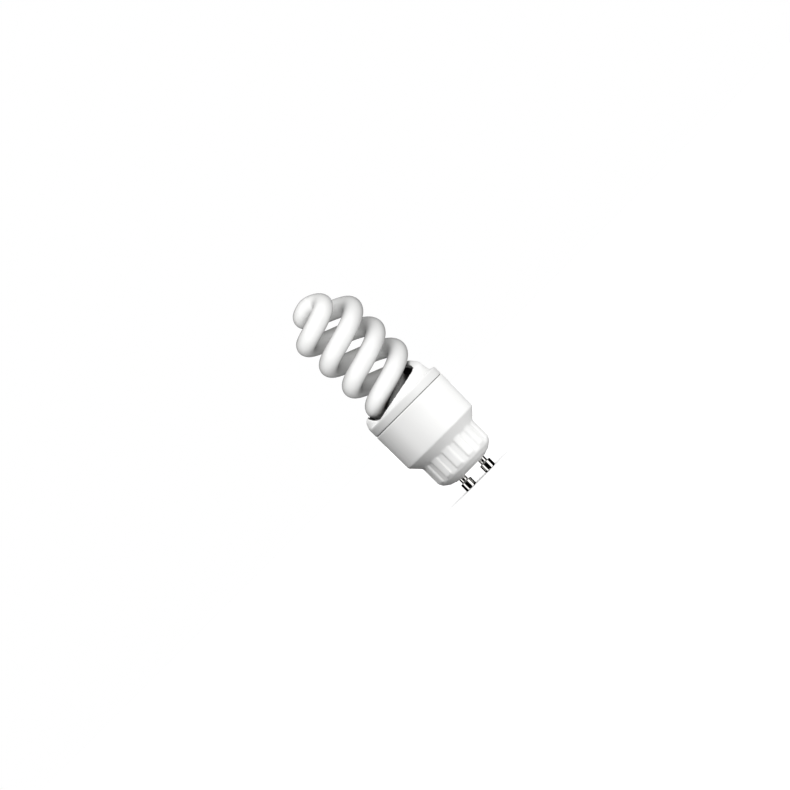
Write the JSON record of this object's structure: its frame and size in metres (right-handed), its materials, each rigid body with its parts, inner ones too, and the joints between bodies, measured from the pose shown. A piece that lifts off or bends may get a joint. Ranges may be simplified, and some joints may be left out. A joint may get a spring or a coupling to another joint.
{
  "type": "spiral compact fluorescent lamp",
  "caption": "Spiral energy saving lamp: a white double-coil glass tube on a ribbed white housing with a two-pin twist-lock base.",
  "frame": {"origin": "on the lamp's axis, midway between the two contact pins, 0.2 mm under the shoulders of their heads, where a lampholder takes hold; the flat underside of the base is 2.2 mm above it", "axes": "+Z along the lamp's axis from the pins to the glass, X through both pins, -Y the side the picture shows"},
  "size_m": [0.034, 0.034, 0.0945],
  "materials": {
    "phosphor_glass": "white phosphor coating under clear glass, glossy",
    "white_plastic": "moulded white, satin gloss",
    "nickel_plate": "bright nickel plate on brass",
    "board_laminate": "paper laminate, matt",
    "can_sleeve": "shrunk sleeve on an aluminium can",
    "ferrite": "sintered, matt",
    "bobbin_plastic": "moulded, matt",
    "enamelled_copper": "clear enamel on copper wire",
    "black_epoxy": "moulded, matt",
    "film_coating": "dipped coating, glossy",
    "resistor_lacquer": "lacquer, glossy",
    "diac_glass": "small sealed glass body",
    "tinned_wire": "tinned copper wire",
    "solder": "cooled solder",
    "cement": "white ceramic cement, matt"
  },
  "bodies": {
    "root": {"discharge_tube": "phosphor_glass", "tube_holder": "white_plastic", "ballast_housing": "white_plastic", "contact_pins": "nickel_plate", "tube_cement": "cement", "circuit_board": "board_laminate", "reservoir_capacitor": "can_sleeve", "choke_core": "ferrite", "choke_bobbin": "bobbin_plastic", "choke_winding": "enamelled_copper", "driver_ring": "ferrite", "driver_windings": "enamelled_copper", "transistors": "black_epoxy", "resonance_capacitor": "film_coating", "coupling_capacitor": "film_coating", "filter_core": "ferrite", "filter_winding": "enamelled_copper", "rectifier_diodes": "black_epoxy", "trigger_diac": "diac_glass", "resistors": "resistor_lacquer", "winding_posts": "tinned_wire", "tube_wires": "tinned_wire", "fusible_resistor": "resistor_lacquer", "mains_wire": "tinned_wire", "component_leads": "tinned_wire", "solder_joints": "solder"}
  },
  "joints": []
}
